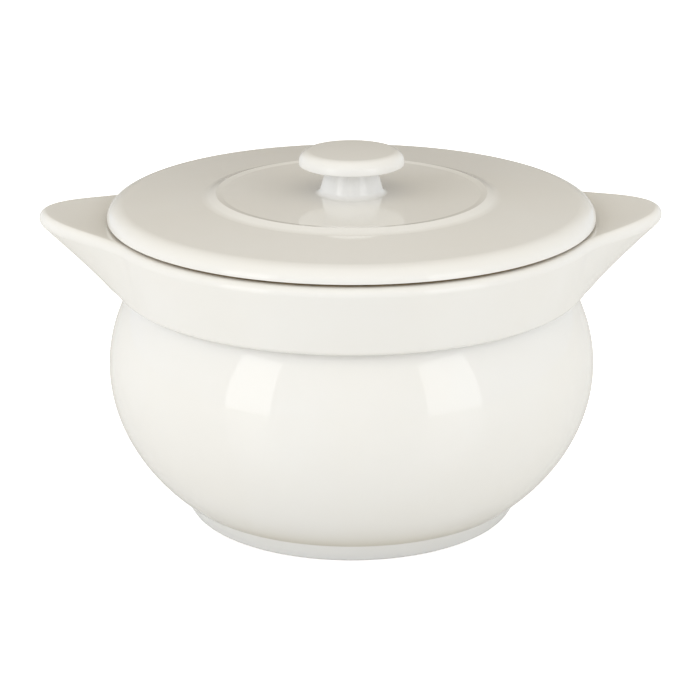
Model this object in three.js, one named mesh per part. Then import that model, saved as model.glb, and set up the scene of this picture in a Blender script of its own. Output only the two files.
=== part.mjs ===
import * as THREE from 'three';

// A round covered baking dish of glazed porcelain: a pot with two lug handles and a loose lid.
// Millimetres, +Z up, +X through the lugs, origin on the table under the middle of the foot.

// Pot: wall, body and foot
const WALL = 5;
const NECK_RADIUS = 68.4;
const BODY_BULGE = 7.8;
const BODY_MIDDLE = 46.9;
const FOOT_RADIUS = 54.6;
const FOOT_HEIGHT = 6.2;
const FOOT_SETBACK = 0.5;
const FOOT_TAPER = 3.4;
const FOOT_WIDTH = 6;
const FOOT_ROUND = 0.9;
const BASE_RECESS = 3;
const BASE_WALL = 5.5;
const FLOOR_CORNER = 14;

// Pot: collar, rim and lugs
const RIM_HEIGHT = 93.9;
const COLLAR_DEPTH = 21.4;
const COLLAR_OVERHANG = 4.1;
const COLLAR_FLARE = 4.5;
const COLLAR_WALL = 5.8;
const COLLAR_ROUND = 1.4;
const COLLAR_FILLET = 2;
const WAIST_BELOW = 2.5;
const WAIST_ABOVE = 7;
const RIM_ROUND = 2.3;
const MOUTH_ROUND = 1.2;
const LUG_REACH = 19.4;
const LUG_RISE = 2.8;
const LUG_HEM = 1.5;
const LUG_SPREAD = 28;
const LUG_TAPER = 1.2;

// Lid: flange, raised ring, sunk middle, and a ring below that drops into the mouth
const SEAT_GAP = 0.3;
const LID_SETBACK = 1.5;
const LID_WALL = 5;
const REBATE_HEIGHT = 0.6;
const REBATE_WIDTH = 3.5;
const EDGE_UPRIGHT = 0.3;
const EDGE_LOW_ROUND = 0.3;
const EDGE_WIDTH = 5.2;
const EDGE_DROP = 4.3;
const FLANGE_HEIGHT = 5.85;
const SUNK_RISE = 0.9;
const RIDGE_RADIUS = 41.9;
const RIDGE_HEIGHT = 0.3;
const RIDGE_INSIDE = 2;
const RIDGE_OUTSIDE = 2.3;
const RIDGE_ROUND = 0.5;
const RIDGE_HOLLOW = 6;
const RING_GAP = 1.2;
const RING_DEPTH = 7;
const RING_WALL = 4.5;
const RING_ROUND = 2;

// Knob: a round-edged disc on a neck that widens downwards, hollow from below
const KNOB_RADIUS = 16.3;
const KNOB_HEIGHT = 13.5;
const KNOB_CROWN = 0.3;
const KNOB_WIDTH = 3.6;
const KNOB_DROP = 2.2;
const KNOB_EDGE = 2.2;
const KNOB_UNDER_ROUND = 1.7;
const STEM_RADIUS = 7.7;
const STEM_SPREAD = 2.7;
const STEM_WALL = 3.5;
const STEM_FILLET = 1.7;
const STEM_TOP_FILLET = 1;

// Fineness of the curves
const LUG_STEPS = 7;
const ARC_STEPS = 8;
const LID_STEPS = 56;
const WALL_STEPS = 4;
const ROUND_STEPS = 2;
const CURVE_STEPS = 5;

// Share of a side that one rounding takes, and share of its height that the waist's curve pulls straight
const ROOM = 0.48;
const WAIST_PULL = 0.45;

const GLAZE = { color: 0xe8e4da, roughness: 0.18, metalness: 0 };

// Sizes that follow from those
const BODY_RADIUS = NECK_RADIUS + BODY_BULGE;
const FOOT_TOP_RADIUS = FOOT_RADIUS + FOOT_SETBACK;
const FLOOR = BASE_RECESS + BASE_WALL;
const COLLAR_LOW = RIM_HEIGHT - COLLAR_DEPTH;
const COLLAR_RADIUS = NECK_RADIUS + COLLAR_OVERHANG;
const RIM_RADIUS = COLLAR_RADIUS + COLLAR_FLARE;
const MOUTH_RADIUS = COLLAR_RADIUS + COLLAR_FLARE / 2 - COLLAR_WALL;
const LID_RADIUS = RIM_RADIUS - LID_SETBACK;
const SEAT = RIM_HEIGHT + SEAT_GAP;

const point = (radius, height) => new THREE.Vector2(radius, height);

// Points of an outline whose [radius, height, rounding] corners are eased with curves,
// none of which starts or ends past the middle of a side.
function eased(corners) {
  const path = new THREE.Path();
  corners.forEach(([radius, height, rounding], i) => {
    if (i === 0) {
      path.moveTo(radius, height);
    } else if (!rounding) {
      path.lineTo(radius, height);
    } else {
      const corner = point(radius, height);
      const before = point(...corners[i - 1]).sub(corner);
      const after = point(...corners[i + 1]).sub(corner);
      const turn = Math.PI - before.angleTo(after);
      const room = Math.min(before.length(), after.length()) * ROOM;
      const cut = Math.min(rounding * Math.tan(turn / 2), room);
      const start = before.setLength(cut).add(corner);
      const end = after.setLength(cut).add(corner);
      path.lineTo(start.x, start.y);
      path.quadraticCurveTo(radius, height, end.x, end.y);
    }
  });
  return path.getPoints(ROUND_STEPS);
}

// Points of an oval about its middle, from one angle to another.
function arc(middle, wide, tall, first, last) {
  return Array.from({ length: CURVE_STEPS + 1 }, (_, k) => {
    const angle = THREE.MathUtils.lerp(first, last, k / CURVE_STEPS);
    return point(middle.x + wide * Math.cos(angle), middle.y + tall * Math.sin(angle));
  });
}

// Round from the end of a straight line, which starts at a point, to the outermost point of an oval.
function shoulder(start, middle, wide, tall) {
  const toStart = point(start.x - middle.x, (start.y - middle.y) * wide / tall);
  const first = toStart.angle() - Math.acos(wide / toStart.length());
  return arc(middle, wide, tall, first, 0);
}

// Quarter of an ellipse that the body's side follows above or below its widest line,
// moved inwards by inset. It passes through the neck above and the top of the foot below.
function sideCurve(upper, inset) {
  const endRadius = upper ? NECK_RADIUS : FOOT_TOP_RADIUS;
  const endHeight = upper ? COLLAR_LOW : FOOT_HEIGHT;
  const share = endRadius / BODY_RADIUS;
  const semi = (endHeight - BODY_MIDDLE) / Math.sqrt(1 - share * share);
  return { semi: semi - Math.sign(semi) * inset, wide: BODY_RADIUS - inset };
}

// Point on that side at a height.
function sidePoint(height, inset) {
  const { semi, wide } = sideCurve(height > BODY_MIDDLE, inset);
  const rise = (height - BODY_MIDDLE) / semi;
  return point(wide * Math.sqrt(1 - rise * rise), height);
}

// Change of radius for each millimetre of height on that side.
function sideSlope(height, inset) {
  const { semi, wide } = sideCurve(height > BODY_MIDDLE, inset);
  return -((wide / semi) ** 2) * (height - BODY_MIDDLE) / sidePoint(height, inset).x;
}

// Points along the side from the widest line to a height, both ends included.
function sidePoints(height, inset) {
  const { semi, wide } = sideCurve(height > BODY_MIDDLE, inset);
  const last = Math.asin((height - BODY_MIDDLE) / semi);
  return Array.from({ length: WALL_STEPS + 1 }, (_, k) => {
    const angle = last * k / WALL_STEPS;
    return point(wide * Math.cos(angle), BODY_MIDDLE + semi * Math.sin(angle));
  });
}

// Inside of the pot: floor, rounded corner, wall, waist and mouth.
function potInside() {
  const low = FLOOR + FLOOR_CORNER;
  const wallFoot = sidePoint(low, WALL);
  const cornerRadius = wallFoot.x - sideSlope(low, WALL) * FLOOR_CORNER;
  const run = wallFoot.distanceTo(point(cornerRadius, FLOOR));
  const corner = new THREE.QuadraticBezierCurve(
    point(cornerRadius - run, FLOOR),
    point(cornerRadius, FLOOR),
    wallFoot,
  );
  const high = COLLAR_LOW - WAIST_BELOW;
  const top = COLLAR_LOW + WAIST_ABOVE;
  const pull = (top - high) * WAIST_PULL;
  const wallTop = sidePoint(high, WALL);
  const waist = new THREE.CubicBezierCurve(
    wallTop,
    point(wallTop.x + sideSlope(high, WALL) * pull, high + pull),
    point(MOUTH_RADIUS, top - pull),
    point(MOUTH_RADIUS, top),
  );
  const mouth = eased([
    [MOUTH_RADIUS, top],
    [MOUTH_RADIUS, RIM_HEIGHT, MOUTH_ROUND],
    [RIM_RADIUS - RIM_ROUND * 2, RIM_HEIGHT],
  ]);
  return [
    point(0, FLOOR),
    ...corner.getPoints(CURVE_STEPS),
    ...sidePoints(low, WALL).reverse().slice(1),
    ...sidePoints(high, WALL).slice(1),
    ...waist.getPoints(CURVE_STEPS).slice(1),
    ...mouth.slice(1),
  ];
}

// How much of a lug there is at a bearing: 1 on the X axis, 0 past the lug's sides.
function lugShare(bearing) {
  const offset = Math.asin(Math.abs(Math.sin(bearing)));
  const side = Math.min(1, offset / THREE.MathUtils.degToRad(LUG_SPREAD));
  return ((1 + Math.cos(Math.PI * side)) / 2) ** LUG_TAPER;
}

// Outside of the collar at a bearing: the rounded rim edge and a straight face
// that runs from it to the collar's lower edge.
function collar(bearing) {
  const share = lugShare(bearing);
  const middle = point(
    RIM_RADIUS + LUG_REACH * share - RIM_ROUND,
    RIM_HEIGHT + LUG_RISE * share - RIM_ROUND,
  );
  const edge = point(COLLAR_RADIUS + LUG_HEM * share, COLLAR_LOW);
  const toEdge = edge.clone().sub(middle);
  const last = toEdge.angle() - 2 * Math.PI + Math.acos(RIM_ROUND / toEdge.length());
  const round = arc(middle, RIM_ROUND, RIM_ROUND, Math.PI / 2, last);
  const faceTop = round.at(-1);
  const faceMiddle = faceTop.clone().lerp(edge, 0.5);
  const turn = new THREE.QuadraticBezierCurve(
    faceTop.clone().sub(edge).setLength(COLLAR_ROUND).add(edge),
    edge,
    point(edge.x - COLLAR_ROUND, COLLAR_LOW),
  );
  return [...round, faceMiddle, ...turn.getPoints(ROUND_STEPS)];
}

// Outside of the pot below the collar: fillet, body, foot ring and recess.
function potOutside() {
  const neck = COLLAR_LOW - COLLAR_FILLET;
  const hem = FOOT_HEIGHT + FOOT_SETBACK;
  const footInside = FOOT_RADIUS - FOOT_TAPER - FOOT_WIDTH;
  const fillet = new THREE.QuadraticBezierCurve(
    point(COLLAR_RADIUS - COLLAR_ROUND, COLLAR_LOW),
    point(NECK_RADIUS, COLLAR_LOW),
    sidePoint(neck, 0),
  );
  const foot = eased([
    [sidePoint(hem, 0).x, hem],
    [FOOT_RADIUS, FOOT_HEIGHT, FOOT_SETBACK],
    [FOOT_RADIUS - FOOT_TAPER, 0, FOOT_ROUND],
    [footInside, 0, FOOT_ROUND],
    [footInside - FOOT_TAPER, BASE_RECESS, FOOT_ROUND],
    [0, BASE_RECESS],
  ]);
  return [
    ...fillet.getPoints(CURVE_STEPS).slice(1),
    ...sidePoints(neck, 0).reverse().slice(1),
    ...sidePoints(hem, 0).slice(1),
    ...foot.slice(1),
  ];
}

// Section of the lid from the top of the knob, over the edge, to the top of the hollow below it.
function lidSection() {
  const edgeLow = SEAT + REBATE_HEIGHT;
  const edgeMiddle = point(LID_RADIUS - EDGE_WIDTH, edgeLow + EDGE_UPRIGHT);
  const seatRadius = LID_RADIUS - REBATE_WIDTH;
  const flange = edgeLow + FLANGE_HEIGHT;
  const flangeFoot = point(RIDGE_RADIUS + RIDGE_OUTSIDE, flange);
  const edge = shoulder(flangeFoot, edgeMiddle, EDGE_WIDTH, EDGE_DROP);
  const sunk = flange + SUNK_RISE;
  const under = sunk - LID_WALL;
  const ringOutside = MOUTH_RADIUS - RING_GAP;
  const ringInside = ringOutside - RING_WALL;
  const ringLow = SEAT - RING_DEPTH;
  const knobTop = sunk + KNOB_HEIGHT;
  const knobMiddle = point(KNOB_RADIUS - KNOB_WIDTH, knobTop - KNOB_CROWN - KNOB_DROP);
  const knobUnder = knobMiddle.y - KNOB_EDGE;
  const stemFoot = STEM_RADIUS + STEM_SPREAD;
  const hollowTop = knobTop - LID_WALL;
  const top = eased([
    [KNOB_RADIUS, knobMiddle.y],
    [KNOB_RADIUS, knobUnder, KNOB_UNDER_ROUND],
    [STEM_RADIUS, knobUnder - KNOB_CROWN, STEM_TOP_FILLET],
    [stemFoot, sunk, STEM_FILLET],
    [RIDGE_RADIUS - RIDGE_INSIDE, sunk, RIDGE_INSIDE],
    [RIDGE_RADIUS, sunk + RIDGE_HEIGHT, RIDGE_ROUND],
    [...flangeFoot, RIDGE_HOLLOW],
    [...edge[0]],
  ]);
  const below = eased([
    [LID_RADIUS, edgeMiddle.y],
    [LID_RADIUS, edgeLow, EDGE_LOW_ROUND],
    [seatRadius, edgeLow, EDGE_LOW_ROUND],
    [seatRadius, SEAT, EDGE_LOW_ROUND],
    [ringOutside, SEAT, MOUTH_ROUND / 2],
    [ringOutside, ringLow, RING_ROUND],
    [ringInside, ringLow, RING_ROUND],
    [ringInside, flange - LID_WALL, RING_ROUND],
    [RIDGE_RADIUS, under, LID_WALL],
    [stemFoot - STEM_WALL, under, STEM_FILLET],
    [STEM_RADIUS - STEM_WALL, hollowTop, STEM_FILLET],
    [0, hollowTop],
  ]);
  return [
    point(0, knobTop),
    ...shoulder(point(0, knobTop), knobMiddle, KNOB_WIDTH, KNOB_DROP),
    ...top.slice(1),
    ...edge.slice(1),
    ...below.slice(1),
  ];
}

// Closed skin over sections that start and end on the axis, one section for each bearing.
function skin(sections, bearings) {
  const rows = sections[0].length - 2;
  const positions = [0, 0, sections[0][0].y];
  sections.forEach((section, i) => {
    for (const { x, y } of section.slice(1, -1)) {
      positions.push(x * Math.cos(bearings[i]), x * Math.sin(bearings[i]), y);
    }
  });
  positions.push(0, 0, sections[0].at(-1).y);
  const last = positions.length / 3 - 1;
  const faces = [];
  bearings.forEach((_, i) => {
    const here = 1 + i * rows;
    const next = 1 + ((i + 1) % bearings.length) * rows;
    faces.push(0, here, next);
    for (let k = 0; k < rows - 1; k += 1) {
      faces.push(here + k, here + k + 1, next + k);
      faces.push(next + k, here + k + 1, next + k + 1);
    }
    faces.push(here + rows - 1, last, next + rows - 1);
  });
  const geometry = new THREE.BufferGeometry();
  geometry.setAttribute('position', new THREE.Float32BufferAttribute(positions, 3));
  geometry.setIndex(faces);
  geometry.computeVertexNormals();
  return geometry;
}

// Bearings around the pot, closer together across each lug than between them.
function potBearings() {
  const side = Array.from({ length: LUG_STEPS }, (_, k) => LUG_SPREAD * (k + 1) / LUG_STEPS);
  const rest = 90 - LUG_SPREAD;
  const between = Array.from({ length: ARC_STEPS }, (_, k) => LUG_SPREAD + rest * (k + 1) / ARC_STEPS);
  const offsets = [...side, ...between];
  const half = [...offsets.slice(0, -1).reverse().map((offset) => -offset), 0, ...offsets];
  return [0, 180].flatMap((lug) => half.map((offset) => THREE.MathUtils.degToRad(lug + offset)));
}

function glazedMesh(name, geometry) {
  const mesh = new THREE.Mesh(geometry, new THREE.MeshStandardMaterial(GLAZE));
  mesh.name = name;
  return mesh;
}

function pot() {
  const bearings = potBearings();
  const inside = potInside();
  const outside = potOutside();
  const sections = bearings.map((bearing) => [...inside, ...collar(bearing), ...outside]);
  return glazedMesh('pot', skin(sections, bearings));
}

function lid() {
  const section = lidSection();
  const bearings = Array.from({ length: LID_STEPS }, (_, i) => 2 * Math.PI * i / LID_STEPS);
  return glazedMesh('lid', skin(bearings.map(() => section), bearings));
}

const dish = new THREE.Group();
dish.add(pot(), lid());

export default dish;
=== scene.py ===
import math

import bmesh
import bpy
from bpy.props import FloatProperty, FloatVectorProperty, PointerProperty
from mathutils import Matrix, Vector


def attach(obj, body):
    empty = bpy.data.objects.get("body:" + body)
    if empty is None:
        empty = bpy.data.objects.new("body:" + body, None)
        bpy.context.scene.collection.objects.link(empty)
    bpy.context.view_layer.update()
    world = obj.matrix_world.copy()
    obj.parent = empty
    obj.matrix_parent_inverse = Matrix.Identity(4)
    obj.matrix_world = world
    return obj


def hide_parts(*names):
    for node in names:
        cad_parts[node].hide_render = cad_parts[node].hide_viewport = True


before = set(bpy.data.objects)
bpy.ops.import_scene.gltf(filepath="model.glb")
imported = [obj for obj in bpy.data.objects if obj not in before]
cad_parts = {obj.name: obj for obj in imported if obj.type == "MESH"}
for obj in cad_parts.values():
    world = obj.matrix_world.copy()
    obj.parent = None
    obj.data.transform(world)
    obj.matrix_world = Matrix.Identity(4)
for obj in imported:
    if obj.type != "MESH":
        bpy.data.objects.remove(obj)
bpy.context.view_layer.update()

bl_info = {
    "name": "Covered baking dish",
    "version": (1, 0, 0),
    "blender": (4, 5, 0),
    "location": "View3D > Sidebar > Dish",
    "description": "Models a covered baking dish of ivory porcelain and a plain studio around it",
    "category": "Add Mesh",
}

MM = 0.001

# Fineness: steps round the axis, along each half of the belly, in an eased corner, in the round edges of rim,
# lid and knob, down the collar's face and across the rim
TURN_STEPS = 288
BELLY_STEPS = 22
ROUND_STEPS = 7
EDGE_STEPS = 2 * ROUND_STEPS
FACE_STEPS = 8
TOP_STEPS = 6

# Distances within which points count as one, and within which a point counts as on the collar's edge
MERGE = 0.001 * MM
NEAR = 0.01 * MM

# Largest share of a line that the easing of a corner may take
EASE_ROOM = 0.48

# Inside of the bowl: share of the floor's corner that is eased, share of the waist's height that each of its
# two bends takes, and share of that which is eased
FLOOR_EASE = 0.98
WAIST_BEND = 0.45
WAIST_EASE = 0.5

# Place of the bare biscuit among a piece's materials, its tan tone also painting the shade in the gap between
# lid and rim, and the share of the foot ring's rounding that is bare
BARE = 1
BARE_SHARE = 0.25

# Thickness of the glaze on plain faces, from 0 to 1, and the radius of a hollow that it fills, which also sets
# how far painted shade darkens hollows
PLAIN_GLAZE = 0.5
GLAZE_AND_SHADE_REACH = 0.3 * MM

# Thickness from which on glaze looks gathered and painted shade darkens it, and below which it looks thin
POOLED_AND_SHADED_FROM = 0.55
THIN_BELOW = 0.42

# Values of a noise between which it goes from none to all
NOISE_LOW = 0.3
NOISE_HIGH = 0.7

# Glaze: how fine its clouds, its changes of gloss, its orange peel and its skin are, and how strong
CLOUD_SCALE = 26
GLOSS_SCALE = 180
GLOSS_CHANGE = 0.2
PEEL_SCALE = 210
PEEL_DEPTH = 0.012 * MM
PEEL_STRENGTH = 0.5
SKIN_SCALE = 1500
SKIN_DEPTH = 0.002 * MM
SKIN_STRENGTH = 0.4

# Biscuit: how fine its rubbed patches, its changes of roughness and its grain are, and how strong
RUB_SCALE = 140
RUB_RAGGED = 0.65
RUB_LOW = 0.5
RUB_HIGH = 0.72
MATT_SCALE = 900
MATT_LOW = 0.6
MATT_HIGH = 0.8
GRAIN_SCALE = 2600
GRAIN_DEPTH = 0.05 * MM
GRAIN_STRENGTH = 0.5

# Refractive index of glaze and biscuit
PORCELAIN_IOR = 1.5

# Share of the background's white that the glaze mirrors, and the highest brightness that a light can have
MIRROR_SHARE = 0.3
GLOW_LIMIT = 20.0

# Floor: width in metres, distance below the foot, the share of white that it shows of itself, and the share
# and roughness of the polish that the glaze sees on it
FLOOR_SIZE = 12.0
FLOOR_DROP = 0.1 * MM
FLOOR_GLOW = 0.68
FLOOR_POLISH = 0.35
FLOOR_ROUGHNESS = 0.3

# Softboxes: distance from the dish in metres, and the share of their height over which their light fades
SOFTBOX_DISTANCE = 0.9
SOFTBOX_FADE = 0.06

# Each softbox: name, setting of its glow, bearing in degrees, width, bottom and top in metres, and whether
# the glaze mirrors it
SOFTBOXES = (
    ("left_softbox", "left_glow", -47.8, 0.345, 0.0, 0.64, True),
    ("right_softbox", "right_glow", 44.3, 0.41, 0.0, 0.64, True),
    ("left_fill", "left_fill", -68.0, 0.7, 0.15, 0.85, False),
    ("right_fill", "right_fill", 68.0, 0.7, 0.15, 0.85, False),
)

# Grey card that leans over the dish from behind, in metres: width, half the width of its evenly grey middle,
# height, distance and height of its foot, and its lean in degrees
CARD_WIDTH = 1.1
CARD_MIDDLE = 0.1
CARD_HEIGHT = 1.4
CARD_DISTANCE = 1.2
CARD_FOOT = 0.05
CARD_LEAN = 35.0

# Camera: width of the sensor and focal length in millimetres
CAMERA_SENSOR = 36.0
CAMERA_LENS = 120.3


# Settings that a user can change

def length(name, description, millimetres):
    """A size, given in millimetres and kept in metres."""
    return FloatProperty(
        name=name, description=description, default=millimetres * MM, min=0.0, precision=5, unit="LENGTH",
    )


def tone(name, description, red, green, blue):
    """A colour of a surface or a lamp."""
    return FloatVectorProperty(
        name=name, description=description, default=(red, green, blue),
        min=0.0, max=1.0, size=3, subtype="COLOR",
    )


def share(name, description, value, high=1.0):
    """A plain number from 0 up."""
    return FloatProperty(name=name, description=description, default=value, min=0.0, max=high, precision=4)


def brightness(name, description, value):
    """How bright a light is, where 1 is white."""
    return share(name, description, value, GLOW_LIMIT)


def turn(name, description, degrees):
    """An angle, given in degrees and kept in radians."""
    return FloatProperty(name=name, description=description, default=math.radians(degrees), subtype="ANGLE")


class PotSizes(bpy.types.PropertyGroup):
    """Sizes of the pot: bowl, foot, collar and lugs."""

    wall: length("Wall", "Thickness of the bowl's wall", 5)
    neck_radius: length("Neck radius", "Radius of the bowl right under the collar", 68.4)
    belly_swell: length("Belly swell", "How far the belly stands out past the neck", 7.8)
    belly_height: length("Belly height", "Height of the belly's widest line", 46.9)
    foot_radius: length("Foot radius", "Outside radius at the top of the foot ring", 55.2)
    foot_height: length("Foot height", "Height of the foot ring", 6.5)
    foot_setback: length("Foot setback", "Step from the belly in to the foot ring", 0.2)
    foot_taper: length("Foot taper", "How much the foot ring narrows downwards", 3.9)
    foot_width: length("Foot width", "Width of the foot ring's bare underside", 6)
    foot_round: length("Foot round", "Rounding of the foot ring's edges", 0.9)
    foot_fillet: length("Foot fillet", "Curve from the belly into the foot ring", 0.6)
    # Height of the band of gathered glaze and painted shade on the downward-facing belly above the foot ring
    foot_pool_and_shade: length("Foot pool", "Height over which glaze gathered above the foot ring thins out", 6)
    base_recess: length("Base recess", "Depth of the hollow inside the foot ring", 3)
    base_wall: length("Base thickness", "Thickness of the bowl's floor", 5.5)
    floor_corner: length("Floor corner", "Height of the curve from floor to wall", 14)
    rim_height: length("Rim height", "Height of the rim between the lugs", 93.9)
    collar_depth: length("Collar depth", "Height of the collar", 21.4)
    collar_overhang: length("Collar overhang", "How far the collar's lower edge hangs over the neck", 4.1)
    collar_flare: length("Collar flare", "How much the collar widens upwards", 4.5)
    collar_wall: length("Collar wall", "Thickness of the collar at half its height", 5.8)
    collar_round: length("Collar round", "Rounding of the collar's lower edge", 1.4)
    collar_fillet: length("Collar fillet", "Curve from the collar's underside into the neck", 0.8)
    waist_below: length("Waist below", "Where the inside waist starts, below the collar's lower edge", 2.5)
    waist_above: length("Waist above", "Where the inside waist ends, above the collar's lower edge", 7)
    rim_round: length("Rim round", "Radius of the rim's outer edge", 2.3)
    rim_ledge: length("Rim ledge", "Width of the glazed ledge inside the rim's round", 0.8)
    mouth_round: length("Mouth round", "Rounding of the rim's inner edge", 1.2)
    lug_reach: length("Lug reach", "How far a lug stands out past the rim", 19.4)
    lug_rise: length("Lug rise", "How much a lug's tip rises above the rim", 2.8)
    lug_hem: length("Lug hem", "How far a lug pulls the collar's lower edge out", 1.5)
    lug_spread: turn("Lug spread", "Angle from a lug's tip to its side", 28)
    lug_taper: share("Lug taper", "How much a lug narrows from the rim to its tip", 1.2, 4.0)

    @property
    def belly_radius(self):
        return self.neck_radius + self.belly_swell

    @property
    def floor(self):
        return self.base_recess + self.base_wall

    @property
    def collar_low(self):
        return self.rim_height - self.collar_depth

    @property
    def collar_radius(self):
        return self.neck_radius + self.collar_overhang

    @property
    def rim_radius(self):
        return self.collar_radius + self.collar_flare

    @property
    def mouth_radius(self):
        return self.collar_radius + self.collar_flare / 2 - self.collar_wall

    @property
    def rim_inside(self):
        return self.rim_radius - self.rim_round - self.rim_ledge


class LidSizes(bpy.types.PropertyGroup):
    """Sizes of the lid: flange, raised ring, sunk middle, knob, and the ring below."""

    seat_gap: length("Seat gap", "Gap between the rim and the lid's seat", 0.3)
    setback: length("Setback", "How far the lid's edge stays inside the rim's edge", 1.5)
    wall: length("Wall", "Thickness of the lid", 5)
    rebate_height: length("Rebate height", "How much the lid's edge clears the rim outside its seat", 0.6)
    rebate_width: length("Rebate width", "Distance from the lid's edge in to its seat", 3.5)
    edge_upright: length("Edge upright", "Height of the upright part of the lid's edge", 0.3)
    edge_low_round: length("Edge low round", "Rounding of the lid's lower edge", 0.3)
    edge_width: length("Edge width", "Width of the round from the flange to the lid's edge", 6)
    edge_drop: length("Edge drop", "Height of the round from the flange to the lid's edge", 4.3)
    flange_height: length("Flange height", "Height of the raised ring's foot above the lid's lower edge", 5.85)
    sunk_rise: length("Sunk rise", "How much the sunk middle lies above the flange", 0.9)
    ridge_radius: length("Ridge radius", "Radius of the raised ring's crest", 41.9)
    ridge_height: length("Ridge height", "Height of the crest above the sunk middle", 0.3)
    ridge_inside: length("Ridge inside", "Width of the raised ring's inner side", 2)
    ridge_outside: length("Ridge outside", "Width of the raised ring's outer side", 3.4)
    ridge_round: length("Ridge round", "Rounding of the crest", 0.5)
    ridge_hollow: length("Ridge hollow", "Curve from the raised ring into the flange", 8)
    ring_gap: length("Ring gap", "Gap between the pot's mouth and the ring below the lid", 1.2)
    ring_depth: length("Ring depth", "How far the ring below the lid drops into the mouth", 7)
    ring_wall: length("Ring wall", "Thickness of the ring below the lid", 4.5)
    ring_round: length("Ring round", "Rounding of the ring below the lid", 2)
    knob_radius: length("Knob radius", "Radius of the knob's disc", 16.3)
    knob_height: length("Knob height", "Height of the knob above the sunk middle", 13.5)
    knob_edge: length("Knob edge", "Height of the disc's edge below its round", 1)
    knob_width: length("Knob round width", "Width of the round from the disc's top to its edge", 3.6)
    knob_drop: length("Knob round drop", "Height of the round from the disc's top to its edge", 3.4)
    knob_under_round: length("Knob under round", "Rounding of the disc's lower edge", 1.7)
    knob_crown: length("Knob crown", "How much the knob's top is domed", 0.3)
    stem_radius: length("Stem radius", "Radius of the knob's neck under the disc", 7.7)
    stem_spread: length("Stem spread", "How much the knob's neck widens downwards", 2.3)
    stem_wall: length("Stem wall", "Thickness of the knob's hollow neck", 3.5)
    stem_fillet: length("Stem fillet", "Curve from the knob's neck into the lid", 1.9)
    stem_top_fillet: length("Stem top fillet", "Curve from the knob's neck into its disc", 1)

    @property
    def pot(self):
        """Sizes of the pot, which the lid has to fit."""
        return self.id_data.dish_pot

    @property
    def radius(self):
        return self.pot.rim_radius - self.setback

    @property
    def seat(self):
        return self.pot.rim_height + self.seat_gap

    @property
    def edge_low(self):
        return self.seat + self.rebate_height

    @property
    def edge_middle(self):
        """Middle of the round at the lid's edge."""
        return self.radius - self.edge_width, self.edge_low + self.edge_upright

    @property
    def flange(self):
        return self.edge_low + self.flange_height

    @property
    def sunk(self):
        return self.flange + self.sunk_rise

    @property
    def knob_top(self):
        return self.sunk + self.knob_height

    @property
    def knob_middle(self):
        """Middle of the round at the knob's edge."""
        return self.knob_radius - self.knob_width, self.knob_top - self.knob_crown - self.knob_drop

    @property
    def stem_foot(self):
        return self.stem_radius + self.stem_spread


class PorcelainLooks(bpy.types.PropertyGroup):
    """Colours and gloss of the porcelain."""

    ivory: tone("Ivory", "Colour of the glaze", 0.792, 0.783, 0.762)
    deep_ivory: tone("Deep ivory", "Colour of the glaze in its slightly deeper clouds", 0.786, 0.773, 0.744)
    # Deeper colour of gathered glaze and painted shade, in hollows and on the downward-facing belly above the
    # foot
    pooled_and_shade: tone("Pooled glaze", "Colour where glaze gathers in hollows", 0.64, 0.60, 0.51)
    thin: tone("Thin glaze", "Colour where glaze runs thin on edges", 0.815, 0.81, 0.79)
    # Bare porcelain, darkened and warmed to olive tan so that it also paints the shade in the gap between lid
    # and rim; the scuffed tone follows it
    biscuit_and_gap_shade: tone("Biscuit", "Colour of the bare porcelain", 0.60, 0.50, 0.34)
    scuffed: tone("Scuffed biscuit", "Colour of the bare porcelain where it is rubbed", 0.46, 0.37, 0.23)
    gloss: share("Gloss", "Roughness of the glaze", 0.015)


class StudioSettings(bpy.types.PropertyGroup):
    """Lights, floor and camera."""

    left_glow: brightness("Left softbox", "Brightness of the left softbox", 1.68)
    right_glow: brightness("Right softbox", "Brightness of the right softbox", 1.45)
    left_fill: brightness("Left fill", "Brightness of the soft light on the left", 1.65)
    right_fill: brightness("Right fill", "Brightness of the soft light on the right", 1.15)
    sky_glow: brightness("Sky", "Brightness of the light from all sides", 0.95)
    horizon: tone("Horizon", "Light from all sides at eye height", 0.77, 0.842, 0.955)
    zenith: tone("Zenith", "Light from above", 0.955, 0.885, 0.73)
    floor: tone("Floor", "Colour of the floor", 0.845, 0.845, 0.835)
    card: tone("Card", "Colour of the grey card behind and above the dish", 0.30, 0.26, 0.215)
    camera_distance: length("Camera distance", "Distance from the dish's axis, along the floor", 699.9)
    camera_height: length("Camera height", "Height of the camera", 288.7)
    camera_aim: length("Camera aim", "Height that the camera looks at", 49.9)
    camera_side: turn("Camera side", "Angle from the front to the camera, towards the left lug", 1.73)
    camera_shift: length("Camera shift", "How far left of the dish's axis the camera looks", 0.46)


# Shared steps of modelling

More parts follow.
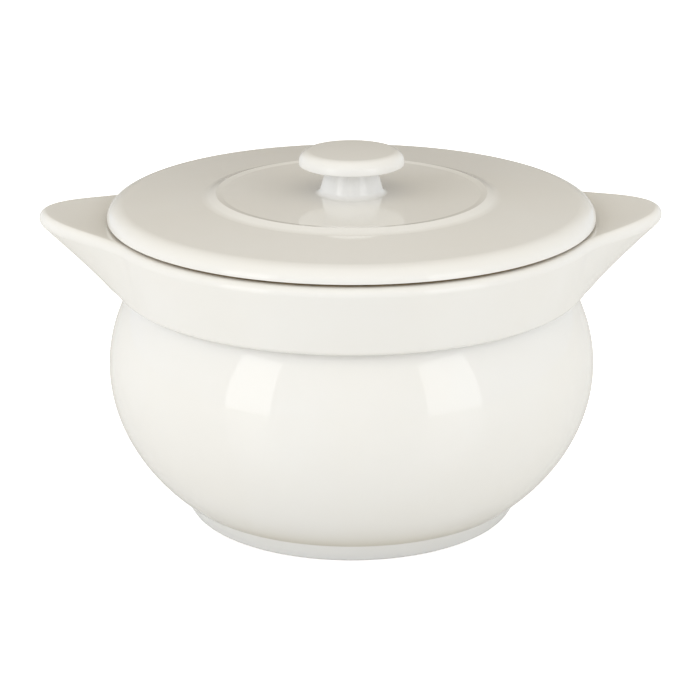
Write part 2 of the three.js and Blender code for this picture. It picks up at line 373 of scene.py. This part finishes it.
class Section:
    """Half a section, drawn line by line in the XZ plane and then turned round the Z axis."""

    def __init__(self, radius, height):
        self.mesh = bmesh.new()
        self.last = self.mesh.verts.new((radius, 0, height))
        self.corners = []

    def line(self, radius, height, easing=0.0):
        """A straight line to a corner, which is eased later over a distance along both its sides."""
        corner = self.mesh.verts.new((radius, 0, height))
        self.mesh.edges.new((self.last, corner))
        self.last = corner
        if easing:
            self.corners.append((corner, easing))

    def lines(self, radius, height, steps):
        """A straight line to a point in several equal steps."""
        start = self.last.co.copy()
        end = Vector((radius, 0, height))
        for step in range(1, steps + 1):
            place = start.lerp(end, step / steps)
            self.line(place.x, place.z)

    def arc(self, radius, height, angle, steps, flatten=1.0):
        """An arc about a point through an angle, positive from +X up to +Z, its height times flatten."""
        to_circle = Matrix.Diagonal((1, 1, 1 / flatten, 1)) @ Matrix.Translation((-radius, 0, -height))
        made = bmesh.ops.spin(
            self.mesh, geom=[self.last], cent=(0, 0, 0), axis=(0, -1, 0),
            angle=angle, steps=steps, space=to_circle,
        )
        self.last = made["geom_last"][0]

    def turned(self):
        """The closed body that the section makes when it turns once round the Z axis."""
        for corner, easing in self.corners:
            bmesh.ops.bevel(
                self.mesh, geom=[corner], offset=easing, offset_type="OFFSET", segments=ROUND_STEPS,
                profile=0.5, affect="VERTICES", clamp_overlap=False, material=-1,
            )
        bmesh.ops.spin(
            self.mesh, geom=self.mesh.verts[:] + self.mesh.edges[:], cent=(0, 0, 0), axis=(0, 0, 1),
            angle=math.tau, steps=TURN_STEPS, use_merge=True,
        )
        bmesh.ops.remove_doubles(self.mesh, verts=self.mesh.verts[:], dist=MERGE)
        bmesh.ops.recalc_face_normals(self.mesh, faces=self.mesh.faces[:])
        return self.mesh


def mark_glaze_and_shade(mesh, pool_and_shade_height=0.0, pool_and_shade_depth=0.0):
    """Stores how thick the glaze lies, which also places painted shade: plain on even faces, up to 1 in
    hollows, where the deeper colour is gathered glaze and painted shade, and down to 0 on edges.

    On faces that look downwards it also gathers in a band that fades out upwards from the height of a pool:
    gathered glaze and painted shade on the belly's underside near the foot.
    """
    layer = mesh.verts.layers.float.new("glaze")
    mesh.normal_update()
    for vert in mesh.verts:
        bend = sum(edge.calc_face_angle_signed(0.0) for edge in vert.link_edges)
        reach = sum(edge.calc_length() for edge in vert.link_edges)
        vert[layer] = min(1.0, max(0.0, PLAIN_GLAZE - GLAZE_AND_SHADE_REACH * bend / reach))
        above = vert.co.z - pool_and_shade_height
        # Painted shade: downward faces just above the foot take the deeper colour, partly gathered glaze
        if pool_and_shade_depth and above >= 0 and vert.normal.z < 0:
            gathered = PLAIN_GLAZE + (1 - PLAIN_GLAZE) * math.exp(-above / pool_and_shade_depth)
            vert[layer] = max(vert[layer], gathered)


def linked(name, mesh, materials):
    """An object at the origin with that mesh and those materials, linked to the scene."""
    data = bpy.data.meshes.new(name)
    mesh.to_mesh(data)
    mesh.free()
    for material in materials:
        data.materials.append(material)
    piece = bpy.data.objects.new(name, data)
    bpy.context.scene.collection.objects.link(piece)
    return piece


def finished(name, mesh, materials):
    """A piece of the dish, smoothly shaded, its big faces keeping straight normals."""
    piece = linked(name, mesh, materials)
    faces = piece.data.polygons
    faces.foreach_set("use_smooth", [True] * len(faces))
    even = piece.modifiers.new("even_faces", "WEIGHTED_NORMAL")
    even.mode = "FACE_AREA"
    return piece


# Materials

class Nodes:
    """The node tree of a material, a lamp or the world, with short ways to add and join nodes."""

    def __init__(self, owner):
        owner.use_nodes = True
        self.tree = owner.node_tree
        self.tree.nodes.clear()

    def add(self, kind, **settings):
        """A new node of that kind with those settings."""
        node = self.tree.nodes.new(kind)
        for name, value in settings.items():
            setattr(node, name, value)
        return node

    def join(self, start, end):
        self.tree.links.new(start, end)

    def show(self, shader, kind="ShaderNodeOutputMaterial"):
        """Makes a shader the tree's result."""
        self.join(shader, self.add(kind).inputs["Surface"])

    def place(self):
        """Place on the object, in metres."""
        return self.add("ShaderNodeTexCoord").outputs["Object"]

    def parts(self, vector):
        """X, Y and Z of a vector."""
        node = self.add("ShaderNodeSeparateXYZ")
        self.join(vector, node.inputs[0])
        return node.outputs

    def noise(self, scale, detail, ragged=0.5):
        """A noise over the object, finer for a larger scale."""
        node = self.add("ShaderNodeTexNoise")
        node.inputs["Scale"].default_value = scale
        node.inputs["Detail"].default_value = detail
        node.inputs["Roughness"].default_value = ragged
        self.join(self.place(), node.inputs["Vector"])
        return node.outputs["Fac"]

    def spread(self, value, low, high, to_low, to_high):
        """A value that goes smoothly between two numbers while the given one rises from low to high."""
        node = self.add("ShaderNodeMapRange", interpolation_type="SMOOTHSTEP")
        for name, number in (("From Min", low), ("From Max", high), ("To Min", to_low), ("To Max", to_high)):
            node.inputs[name].default_value = number
        self.join(value, node.inputs["Value"])
        return node.outputs["Result"]

    def blend(self, factor, first, second):
        """A mix of two colours, each a colour or a socket. Sockets 6, 7 and 2 are the node's colour ones."""
        node = self.add("ShaderNodeMix", data_type="RGBA")
        self.join(factor, node.inputs["Factor"])
        for socket, colour in ((node.inputs[6], first), (node.inputs[7], second)):
            if isinstance(colour, bpy.types.NodeSocket):
                self.join(colour, socket)
            else:
                socket.default_value = (*colour, 1)
        return node.outputs[2]

    def choose(self, factor, first, second):
        """A mix of two shaders."""
        node = self.add("ShaderNodeMixShader")
        for number, socket in enumerate((factor, first, second)):
            self.join(socket, node.inputs[number])
        return node.outputs[0]

    def bump(self, height, distance, strength, normal=None):
        """A fine relief, on top of another where one is given."""
        node = self.add("ShaderNodeBump")
        node.inputs["Distance"].default_value = distance
        node.inputs["Strength"].default_value = strength
        self.join(height, node.inputs["Height"])
        if normal:
            self.join(normal, node.inputs["Normal"])
        return node.outputs["Normal"]

    def porcelain(self, colour, roughness, normal):
        """A surface with that colour, roughness and relief, as the tree's result."""
        shader = self.add("ShaderNodeBsdfPrincipled")
        shader.inputs["IOR"].default_value = PORCELAIN_IOR
        self.join(colour, shader.inputs["Base Color"])
        self.join(roughness, shader.inputs["Roughness"])
        self.join(normal, shader.inputs["Normal"])
        self.show(shader.outputs["BSDF"])

    def seen(self):
        """1 for what the camera sees, straight or through something clear, less in a mirror, else 0."""
        path = self.add("ShaderNodeLightPath").outputs
        total = path["Is Camera Ray"]
        for other in (self.spread(path["Is Glossy Ray"], 0, 1, 0, MIRROR_SHARE), path["Is Transmission Ray"]):
            larger = self.add("ShaderNodeMath", operation="MAXIMUM")
            self.join(total, larger.inputs[0])
            self.join(other, larger.inputs[1])
            total = larger.outputs[0]
        return total


def ivory_glaze(looks):
    """Glossy ivory glaze: faint clouds, deeper in hollows and low on the belly with gathered glaze and painted
    shade, paler on edges, with a very fine orange peel.
    """
    material = bpy.data.materials.new("ivory_glaze")
    nodes = Nodes(material)
    clouds = nodes.spread(nodes.noise(CLOUD_SCALE, detail=3), NOISE_LOW, NOISE_HIGH, 0, 1)
    body = nodes.blend(clouds, looks.ivory, looks.deep_ivory)
    glaze = nodes.add("ShaderNodeAttribute", attribute_name="glaze").outputs["Fac"]
    # Painted shade: hollows and the low belly take the deeper colour, partly gathered glaze and partly shade
    hollows = nodes.blend(nodes.spread(glaze, POOLED_AND_SHADED_FROM, 1, 0, 1), body, looks.pooled_and_shade)
    colour = nodes.blend(nodes.spread(glaze, 0, THIN_BELOW, 1, 0), hollows, looks.thin)
    least, most = looks.gloss * (1 - GLOSS_CHANGE), looks.gloss * (1 + GLOSS_CHANGE)
    gloss = nodes.spread(nodes.noise(GLOSS_SCALE, detail=2), NOISE_LOW, NOISE_HIGH, least, most)
    peel = nodes.bump(nodes.noise(PEEL_SCALE, detail=2), PEEL_DEPTH, PEEL_STRENGTH)
    skin = nodes.bump(nodes.noise(SKIN_SCALE, detail=1), SKIN_DEPTH, SKIN_STRENGTH, peel)
    nodes.porcelain(colour, gloss, skin)
    return material


def bare_biscuit_and_gap_shade(looks):
    """Bare fired porcelain, its tan and olive tone also painting the shade in the gap between lid and rim:
    matt, finely grained, rubbed darker in patches.
    """
    material = bpy.data.materials.new("bare_biscuit_and_gap_shade")
    nodes = Nodes(material)
    patches = nodes.noise(RUB_SCALE, detail=5, ragged=RUB_RAGGED)
    rubbed = nodes.spread(patches, RUB_LOW, RUB_HIGH, 0, 1)
    colour = nodes.blend(rubbed, looks.biscuit_and_gap_shade, looks.scuffed)
    matt = nodes.spread(nodes.noise(MATT_SCALE, detail=2), NOISE_LOW, NOISE_HIGH, MATT_LOW, MATT_HIGH)
    grain = nodes.bump(nodes.noise(GRAIN_SCALE, detail=3), GRAIN_DEPTH, GRAIN_STRENGTH)
    nodes.porcelain(colour, matt, grain)
    return material


def finishes(context):
    """Glaze and biscuit, the biscuit's tone also painting the shade in the gap under the lid, made once and
    shared by the pieces.
    """
    looks = context.scene.dish_looks
    glaze = bpy.data.materials.get("ivory_glaze") or ivory_glaze(looks)
    biscuit_and_gap_shade = bpy.data.materials.get("bare_biscuit_and_gap_shade") or bare_biscuit_and_gap_shade(looks)
    return [glaze, biscuit_and_gap_shade]


# Pot

def belly_curve(sizes, upper, inset):
    """Half height and half width of the ellipse that the belly follows above or below its widest line."""
    end_radius = sizes.neck_radius if upper else sizes.foot_radius + sizes.foot_setback
    end_height = sizes.collar_low if upper else sizes.foot_height
    tall = abs(end_height - sizes.belly_height) / math.sqrt(1 - (end_radius / sizes.belly_radius) ** 2)
    return tall - inset, sizes.belly_radius - inset


def belly_angle(sizes, height, inset):
    """Angle of the belly's point at a height, on its ellipse."""
    tall = belly_curve(sizes, height > sizes.belly_height, inset)[0]
    return math.asin((height - sizes.belly_height) / tall)


def belly_radius(sizes, height, inset):
    """Radius of the belly at a height."""
    wide = belly_curve(sizes, height > sizes.belly_height, inset)[1]
    return wide * math.cos(belly_angle(sizes, height, inset))


def belly_lean(sizes, height, inset):
    """How much the belly's radius changes for each step of height."""
    tall, wide = belly_curve(sizes, height > sizes.belly_height, inset)
    return -(wide / tall) * math.tan(belly_angle(sizes, height, inset))


def draw_belly(section, sizes, start, end, inset):
    """The belly's curve from one height to another, on both sides of its widest line."""
    for height, going in ((start, -1), (end, 1)):
        tall, wide = belly_curve(sizes, height > sizes.belly_height, inset)
        angle = going * belly_angle(sizes, height, inset)
        section.arc(0, sizes.belly_height, angle, BELLY_STEPS, tall / wide)


def draw_inside(section, sizes):
    """Floor, rounded corner, wall, soft waist and mouth."""
    low = sizes.floor + sizes.floor_corner
    high = sizes.collar_low - sizes.waist_below
    top = sizes.collar_low + sizes.waist_above
    wall_radius = belly_radius(sizes, low, sizes.wall)
    corner_radius = wall_radius - belly_lean(sizes, low, sizes.wall) * sizes.floor_corner
    corner = math.hypot(wall_radius - corner_radius, sizes.floor_corner)
    section.line(corner_radius, sizes.floor, corner * FLOOR_EASE)
    section.line(wall_radius, low)
    draw_belly(section, sizes, low, high, sizes.wall)
    bend = (top - high) * WAIST_BEND
    waist_radius = belly_radius(sizes, high, sizes.wall) + belly_lean(sizes, high, sizes.wall) * bend
    section.line(waist_radius, high + bend, bend * WAIST_EASE)
    section.line(sizes.mouth_radius, top - bend, bend * WAIST_EASE)
    section.line(sizes.mouth_radius, sizes.rim_height, sizes.mouth_round)


def collar_edge(sizes, lug):
    """The collar's lower edge at a share of lug."""
    return Vector((sizes.collar_radius + sizes.lug_hem * lug, sizes.collar_low))


def rim_turn(sizes, lug):
    """Middle of the rim's round at a share of lug, and the angle at which the collar's face leaves it."""
    middle = Vector((
        sizes.rim_radius + sizes.lug_reach * lug - sizes.rim_round,
        sizes.rim_height + sizes.lug_rise * lug - sizes.rim_round,
    ))
    to_edge = collar_edge(sizes, lug) - middle
    return middle, math.atan2(to_edge.y, to_edge.x) + math.acos(sizes.rim_round / to_edge.length)


def draw_outside(section, sizes):
    """Rim, collar, neck, belly, foot ring and recess."""
    middle, leaves = rim_turn(sizes, 0)
    neck = sizes.collar_low - sizes.collar_fillet
    hem = sizes.foot_height + sizes.foot_fillet
    tip = sizes.foot_radius - sizes.foot_taper
    section.line(sizes.rim_inside, sizes.rim_height)
    section.lines(middle.x, sizes.rim_height, TOP_STEPS)
    section.arc(middle.x, middle.y, leaves - math.pi / 2, EDGE_STEPS)
    section.lines(sizes.collar_radius, sizes.collar_low, FACE_STEPS)
    section.line(sizes.neck_radius, sizes.collar_low, sizes.collar_fillet)
    section.line(belly_radius(sizes, neck, 0), neck)
    draw_belly(section, sizes, neck, hem, 0)
    section.line(sizes.foot_radius, sizes.foot_height, sizes.foot_fillet)
    section.line(tip, 0, sizes.foot_round)
    section.line(tip - sizes.foot_width, 0, sizes.foot_round)
    section.line(tip - sizes.foot_width - sizes.foot_taper, sizes.base_recess, sizes.foot_round)
    section.line(0, sizes.base_recess)


def lug_share(sizes, bearing):
    """How much of a lug there is at a bearing: 1 on the X axis, 0 past the lug's sides."""
    aside = math.asin(min(1.0, abs(math.sin(bearing))))
    side = min(1.0, aside / sizes.lug_spread)
    return ((1 + math.cos(math.pi * side)) / 2) ** sizes.lug_taper


def pulled(sizes, place, lug):
    """Where a (radius, height) point of the rim or the collar's face goes in a share of lug."""
    rest_edge = collar_edge(sizes, 0)
    edge = collar_edge(sizes, lug)
    rest, rest_leaves = rim_turn(sizes, 0)
    moved, leaves = rim_turn(sizes, lug)
    arm = place - rest
    if arm.x <= MERGE and arm.y > 0:
        part = max(0.0, (place.x - sizes.rim_inside) / (rest.x - sizes.rim_inside))
        return place + part * Vector((moved.x - rest.x, lug * sizes.lug_rise))
    angle = math.atan2(arm.y, arm.x)
    quarter = math.pi / 2
    if angle > rest_leaves - MERGE:
        turned = quarter + (angle - quarter) * (leaves - quarter) / (rest_leaves - quarter)
        return moved + sizes.rim_round * Vector((math.cos(turned), math.sin(turned)))
    rest_top = rest + sizes.rim_round * Vector((math.cos(rest_leaves), math.sin(rest_leaves)))
    top = moved + sizes.rim_round * Vector((math.cos(leaves), math.sin(leaves)))
    return edge + (top - edge) * (place - rest_edge).length / (rest_top - rest_edge).length


def pull_lugs(mesh, sizes):
    """Pulls the rim and the collar's face out into a lug at each end of the X axis."""
    for vert in mesh.verts:
        place = Vector((vert.co.xy.length, vert.co.z))
        bearing = math.atan2(vert.co.y, vert.co.x)
        lug = lug_share(sizes, bearing)
        if lug > 0 and place.y > sizes.collar_low - MERGE and place.x > sizes.collar_radius - MERGE:
            radius, height = pulled(sizes, place, lug)
            vert.co = (radius * math.cos(bearing), radius * math.sin(bearing), height)


def round_collar(mesh, sizes):
    """Rounds the collar's lower edge."""
    edges = [
        edge for edge in mesh.edges
        if all(abs(vert.co.z - sizes.collar_low) < MERGE for vert in edge.verts)
        and all(vert.co.xy.length > sizes.collar_radius - NEAR for vert in edge.verts)
    ]
    bmesh.ops.bevel(
        mesh, geom=edges, offset=sizes.collar_round, offset_type="OFFSET", segments=ROUND_STEPS,
        profile=0.5, affect="EDGES", clamp_overlap=True, material=-1,
    )


class DISH_OT_pot(bpy.types.Operator):
    """Model the pot with its foot ring, collar and two lugs"""

    bl_idname = "dish.pot"
    bl_label = "Pot"

    def execute(self, context):
        sizes = context.scene.dish_pot
        section = Section(0, sizes.floor)
        draw_inside(section, sizes)
        draw_outside(section, sizes)
        mesh = section.turned()
        pull_lugs(mesh, sizes)
        round_collar(mesh, sizes)
        # Thicker glaze and painted shade in hollows and on the downward-facing belly above the foot
        mark_glaze_and_shade(mesh, sizes.foot_height, sizes.foot_pool_and_shade)
        for face in mesh.faces:
            middle = face.calc_center_median()
            # Bare seat inside the rim: real bare porcelain, its dark tone also painting the shade in the gap
            # under the lid
            on_seat = abs(middle.z - sizes.rim_height) < MERGE and middle.xy.length < sizes.rim_inside
            if on_seat or middle.z < sizes.foot_round * BARE_SHARE:
                face.material_index = BARE
        piece = finished("glazed_pot", mesh, finishes(context))
        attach(piece, "pot")
        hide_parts("pot")
        return {"FINISHED"}


# Lid

def eased(before, corner, after, rounding):
    """How far along its sides a corner of (radius, height) is eased to get a rounding of that radius."""
    corner = Vector(corner)
    inwards = Vector(before) - corner
    outwards = Vector(after) - corner
    bend = math.pi - inwards.angle(outwards)
    room = EASE_ROOM * min(inwards.length, outwards.length)
    return min(rounding * math.tan(bend / 2), room)


def draw_corners(section, corners):
    """Lines from corner to corner, each a radius, a height and a rounding, the first and the last plain."""
    for before, corner, after in zip(corners, corners[1:], corners[2:]):
        section.line(*corner[:2], eased(before[:2], corner[:2], after[:2], corner[2]))
    section.line(*corners[-1][:2])


def oval_start(before, middle, width, drop):
    """Where a line from a point touches an oval about its middle, and the angle there, as on a circle."""
    across = before[0] - middle[0]
    up = (before[1] - middle[1]) * width / drop
    angle = math.atan2(up, across) - math.acos(width / math.hypot(across, up))
    return (middle[0] + width * math.cos(angle), middle[1] + drop * math.sin(angle)), angle


def draw_knob(section, sizes):
    """The knob's domed top and its round edge."""
    peak = (0, sizes.knob_top)
    start, angle = oval_start(peak, sizes.knob_middle, sizes.knob_width, sizes.knob_drop)
    section.line(*start)
    section.arc(*sizes.knob_middle, -angle, EDGE_STEPS, sizes.knob_drop / sizes.knob_width)


def draw_top(section, sizes):
    """The knob's underside and neck, the sunk middle, the raised ring, the flange and its round edge."""
    knob_level = sizes.knob_middle[1]
    knob_under = knob_level - sizes.knob_edge
    flange_foot = (sizes.ridge_radius + sizes.ridge_outside, sizes.flange, sizes.ridge_hollow)
    start, angle = oval_start(flange_foot, sizes.edge_middle, sizes.edge_width, sizes.edge_drop)
    draw_corners(section, [
        (sizes.knob_radius, knob_level, 0),
        (sizes.knob_radius, knob_under, sizes.knob_under_round),
        (sizes.stem_radius, knob_under - sizes.knob_crown, sizes.stem_top_fillet),
        (sizes.stem_foot, sizes.sunk, sizes.stem_fillet),
        (sizes.ridge_radius - sizes.ridge_inside, sizes.sunk, sizes.ridge_inside),
        (sizes.ridge_radius, sizes.sunk + sizes.ridge_height, sizes.ridge_round),
        flange_foot,
        (*start, 0),
    ])
    section.arc(*sizes.edge_middle, -angle, EDGE_STEPS, sizes.edge_drop / sizes.edge_width)


def draw_underside(section, sizes):
    """The lid's lower edge, its seat, the ring below it, and the hollow inside the knob's neck."""
    seat_radius = sizes.radius - sizes.rebate_width
    # Finer than the mouth's own rounding, so that the corner between seat and ring stays clear of it
    seat_corner = sizes.pot.mouth_round / 2
    ring_out = sizes.pot.mouth_radius - sizes.ring_gap
    ring_in = ring_out - sizes.ring_wall
    ring_low = sizes.seat - sizes.ring_depth
    under = sizes.sunk - sizes.wall
    hollow_top = sizes.knob_top - sizes.wall
    draw_corners(section, [
        (sizes.radius, sizes.edge_middle[1], 0),
        (sizes.radius, sizes.edge_low, sizes.edge_low_round),
        (seat_radius, sizes.edge_low, sizes.edge_low_round),
        (seat_radius, sizes.seat, sizes.edge_low_round),
        (ring_out, sizes.seat, seat_corner),
        (ring_out, ring_low, sizes.ring_round),
        (ring_in, ring_low, sizes.ring_round),
        (ring_in, sizes.flange - sizes.wall, sizes.ring_round),
        (sizes.ridge_radius, under, sizes.wall),
        (sizes.stem_foot - sizes.stem_wall, under, sizes.stem_fillet),
        (sizes.stem_radius - sizes.stem_wall, hollow_top, sizes.stem_fillet),
        (0, hollow_top, 0),
    ])


class DISH_OT_lid(bpy.types.Operator):
    """Model the lid with its raised ring, knob and the ring below"""

    bl_idname = "dish.lid"
    bl_label = "Lid"

    def execute(self, context):
        sizes = context.scene.dish_lid
        section = Section(0, sizes.knob_top)
        draw_knob(section, sizes)
        draw_top(section, sizes)
        draw_underside(section, sizes)
        mesh = section.turned()
        # Thicker glaze and painted shade in the lid's hollows
        mark_glaze_and_shade(mesh)
        for face in mesh.faces:
            middle = face.calc_center_median()
            # Bare lid edge, rebate and seat: real bare porcelain, its dark tone also painting the shade in the
            # gap above the rim
            if middle.z < sizes.edge_low + MERGE and middle.xy.length > sizes.pot.mouth_radius:
                face.material_index = BARE
        piece = finished("glazed_lid", mesh, finishes(context))
        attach(piece, "lid")
        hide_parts("lid")
        return {"FINISHED"}


# Stage

def flat_panel(name, material, width, height):
    """A flat panel in the XY plane with its middle at the origin."""
    mesh = bmesh.new()
    bmesh.ops.create_grid(mesh, x_segments=1, y_segments=1, size=0.5)
    bmesh.ops.scale(mesh, vec=(width, height, 1), verts=mesh.verts[:])
    panel = linked(name, mesh, [material])
    return panel


def floor_paint(studio):
    """Pale floor that looks white to the camera but keeps the dish's shadow, and is clear from below."""
    material = bpy.data.materials.new("pale_floor")
    nodes = Nodes(material)
    matt = nodes.add("ShaderNodeBsdfDiffuse")
    matt.inputs["Color"].default_value = (*studio.floor, 1)
    glow = nodes.add("ShaderNodeEmission")
    nodes.join(nodes.spread(nodes.seen(), 0, 1, 0, FLOOR_GLOW), glow.inputs["Strength"])
    both = nodes.add("ShaderNodeAddShader")
    nodes.join(matt.outputs[0], both.inputs[0])
    nodes.join(glow.outputs[0], both.inputs[1])
    polish = nodes.add("ShaderNodeBsdfGlossy")
    polish.inputs["Roughness"].default_value = FLOOR_ROUGHNESS
    mirrored = nodes.add("ShaderNodeLightPath").outputs["Is Glossy Ray"]
    polished = nodes.spread(mirrored, 0, 1, 0, FLOOR_POLISH)
    above = nodes.choose(polished, both.outputs[0], polish.outputs[0])
    clear = nodes.add("ShaderNodeBsdfTransparent").outputs[0]
    from_below = nodes.add("ShaderNodeNewGeometry").outputs["Backfacing"]
    nodes.show(nodes.choose(from_below, above, clear))
    return material


def card_paint(studio):
    """Matt grey paint that pales to the floor's colour towards the card's sides."""
    material = bpy.data.materials.new("grey_card")
    nodes = Nodes(material)
    aside = nodes.add("ShaderNodeMath", operation="ABSOLUTE")
    nodes.join(nodes.parts(nodes.place())["X"], aside.inputs[0])
    pale = nodes.spread(aside.outputs[0], CARD_MIDDLE, CARD_WIDTH / 2, 0, 1)
    matt = nodes.add("ShaderNodeBsdfDiffuse")
    nodes.join(nodes.blend(pale, studio.card, studio.floor), matt.inputs["Color"])
    nodes.show(matt.outputs[0])
    return material


def place_floor(studio):
    """Floor just below the foot."""
    floor = flat_panel("pale_floor", floor_paint(studio), FLOOR_SIZE, FLOOR_SIZE)
    floor.location.z = -FLOOR_DROP


def place_card(studio):
    """Grey card that leans over the dish from behind, out of the camera's sight."""
    card = flat_panel("grey_card", card_paint(studio), CARD_WIDTH, CARD_HEIGHT)
    lean = math.radians(CARD_LEAN)
    card.rotation_euler.x = math.pi / 2 + lean
    card.location.y = CARD_DISTANCE - math.sin(lean) * CARD_HEIGHT / 2
    card.location.z = CARD_FOOT + math.cos(lean) * CARD_HEIGHT / 2
    card.visible_camera = False


def light_world(studio):
    """White for the camera and partly for mirrors, and else soft light that goes from horizon to zenith."""
    world = bpy.context.scene.world or bpy.data.worlds.new("studio")
    bpy.context.scene.world = world
    nodes = Nodes(world)
    up = nodes.parts(nodes.add("ShaderNodeTexCoord").outputs["Generated"])["Z"]
    soft = nodes.add("ShaderNodeBackground")
    nodes.join(nodes.blend(nodes.spread(up, 0, 1, 0, 1), studio.horizon, studio.zenith), soft.inputs["Color"])
    soft.inputs["Strength"].default_value = studio.sky_glow
    white = nodes.add("ShaderNodeBackground")
    white.inputs["Color"].default_value = (1, 1, 1, 1)
    nodes.show(nodes.choose(nodes.seen(), soft.outputs[0], white.outputs[0]), "ShaderNodeOutputWorld")


def softbox(name, bearing, width, bottom, top, glow, mirrored):
    """An upright softbox whose light fades out downwards, its bearing from straight ahead to the right."""
    lamp = bpy.data.lights.new(name, "AREA")
    lamp.shape = "RECTANGLE"
    lamp.size = width
    lamp.size_y = top - bottom
    lamp.energy = glow * math.pi * lamp.size * lamp.size_y
    nodes = Nodes(lamp)
    up = nodes.parts(nodes.add("ShaderNodeNewGeometry").outputs["Parametric"])["Y"]
    light = nodes.add("ShaderNodeEmission")
    nodes.join(nodes.spread(up, 0, SOFTBOX_FADE, 0, 1), light.inputs["Strength"])
    nodes.show(light.outputs[0], "ShaderNodeOutputLight")
    box = bpy.data.objects.new(name, lamp)
    outwards = Vector((math.sin(bearing), -math.cos(bearing), 0))
    box.location = outwards * SOFTBOX_DISTANCE + Vector((0, 0, (top + bottom) / 2))
    box.rotation_mode = "QUATERNION"
    box.rotation_quaternion = outwards.to_track_quat("Z", "Y")
    box.visible_camera = False
    box.visible_glossy = mirrored
    bpy.context.scene.collection.objects.link(box)


def place_camera(scene, studio):
    """Camera that sees the dish as the photo does."""
    lens = bpy.data.cameras.new("photo_camera")
    lens.sensor_width = CAMERA_SENSOR
    lens.lens = CAMERA_LENS
    camera = bpy.data.objects.new("photo_camera", lens)
    side = -studio.camera_side
    ahead = Vector((math.sin(side), -math.cos(side), 0))
    camera.location = ahead * studio.camera_distance + Vector((0, 0, studio.camera_height))
    aim = Vector((-studio.camera_shift, 0, studio.camera_aim))
    camera.rotation_mode = "QUATERNION"
    camera.rotation_quaternion = (aim - camera.location).to_track_quat("-Z", "Y")
    scene.collection.objects.link(camera)
    scene.camera = camera


class DISH_OT_stage(bpy.types.Operator):
    """Set up the floor, the soft light and the camera"""

    bl_idname = "dish.stage"
    bl_label = "Stage"

    def execute(self, context):
        scene = context.scene
        studio = scene.dish_studio
        place_floor(studio)
        place_card(studio)
        light_world(studio)
        for name, setting, bearing, width, bottom, top, mirrored in SOFTBOXES:
            glow = getattr(studio, setting)
            softbox(name, math.radians(bearing), width, bottom, top, glow, mirrored)
        place_camera(scene, studio)
        scene.view_settings.view_transform = "Standard"
        return {"FINISHED"}


# Panel and registration

class DISH_PT_panel(bpy.types.Panel):
    """Lists the dish's pieces and settings"""

    bl_idname = "DISH_PT_panel"
    bl_label = "Covered baking dish"
    bl_space_type = "VIEW_3D"
    bl_region_type = "UI"
    bl_category = "Dish"

    def draw(self, context):
        for operator in (DISH_OT_pot, DISH_OT_lid, DISH_OT_stage):
            self.layout.operator(operator.bl_idname)
        for group in SETTINGS:
            settings = getattr(context.scene, group)
            box = self.layout.box()
            for name in settings.bl_rna.properties.keys():
                if name not in ("rna_type", "name"):
                    box.prop(settings, name)


SETTINGS = {
    "dish_pot": PotSizes,
    "dish_lid": LidSizes,
    "dish_looks": PorcelainLooks,
    "dish_studio": StudioSettings,
}
CLASSES = (*SETTINGS.values(), DISH_OT_pot, DISH_OT_lid, DISH_OT_stage, DISH_PT_panel)


def register():
    for entry in CLASSES:
        bpy.utils.register_class(entry)
    for name, group in SETTINGS.items():
        setattr(bpy.types.Scene, name, PointerProperty(type=group))


def unregister():
    for name in SETTINGS:
        delattr(bpy.types.Scene, name)
    for entry in reversed(CLASSES):
        bpy.utils.unregister_class(entry)


def main():
    register()
    bpy.ops.dish.pot()
    bpy.ops.dish.lid()
    bpy.ops.dish.stage()


if __name__ == "__main__":
    main()
